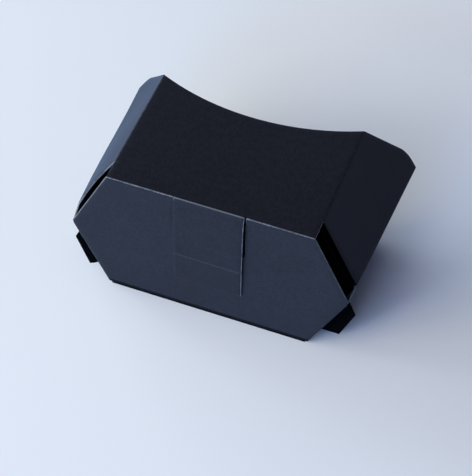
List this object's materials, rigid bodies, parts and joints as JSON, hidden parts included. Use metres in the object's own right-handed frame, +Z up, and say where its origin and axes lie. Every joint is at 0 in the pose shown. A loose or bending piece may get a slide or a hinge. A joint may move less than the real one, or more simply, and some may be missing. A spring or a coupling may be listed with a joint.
{
  "type": "cardboard vr viewer",
  "caption": "Folded black card viewer that holds a phone behind a hinged front flap, with a strap closure, a lens board and two lenses.",
  "frame": {"origin": "centre of the overall box at the surface that the bottom panel stands on", "axes": "+Z up, -Y towards the front flap, +Y towards the wearer's face, +X to the right seen from the front"},
  "size_m": [0.171, 0.1102, 0.089],
  "materials": {
    "black_card": "matt printed black card with a soft sheen",
    "strap_card": "matt printed black card with a soft sheen",
    "inner_card": "matt black card",
    "clear_acrylic": "clear polished acrylic",
    "loop_fabric": "black woven loops",
    "hook_tape": "black moulded hooks"
  },
  "bodies": {
    "viewer": {"top_panel": "black_card", "bottom_panel": "black_card", "upper_left_panel": "black_card", "upper_right_panel": "black_card", "lower_left_panel": "black_card", "lower_right_panel": "black_card", "seam_flap": "inner_card", "phone_frame": "inner_card", "frame_top_tab": "inner_card", "frame_bottom_tab": "inner_card", "lens_board_front": "inner_card", "lens_board_core": "inner_card", "lens_board_back": "inner_card", "lens_top_tab": "inner_card", "lens_left_tab": "inner_card", "lens_right_tab": "inner_card", "left_lens": "clear_acrylic", "right_lens": "clear_acrylic", "divider_left": "inner_card", "divider_right": "inner_card"},
    "flap": {"front_flap": "black_card", "loop_patch": "loop_fabric"},
    "strap": {"closing_strap": "strap_card", "hook_patch": "hook_tape"},
    "tab": {"pull_tab": "strap_card"}
  },
  "joints": [
    {"name": "flap_open", "type": "hinge", "parent": "viewer", "child": "flap", "pos_m": [0, -0.0527, 0.0005], "axis": [1, 0, 0], "range_deg": [0, 90]},
    {"name": "strap_lift", "type": "hinge", "parent": "viewer", "child": "strap", "pos_m": [0, -0.0546, 0.0885], "axis": [-1, 0, 0], "range_deg": [0, 180]},
    {"name": "pull_tab_fold", "type": "hinge", "parent": "strap", "child": "tab", "pos_m": [0, -0.0546, 0.045], "axis": [-1, 0, 0], "range_deg": [0, 75]}
  ],
  "couplings": [
    {"joint": "strap_lift", "follows": "flap_open", "ratio": 2}
  ]
}
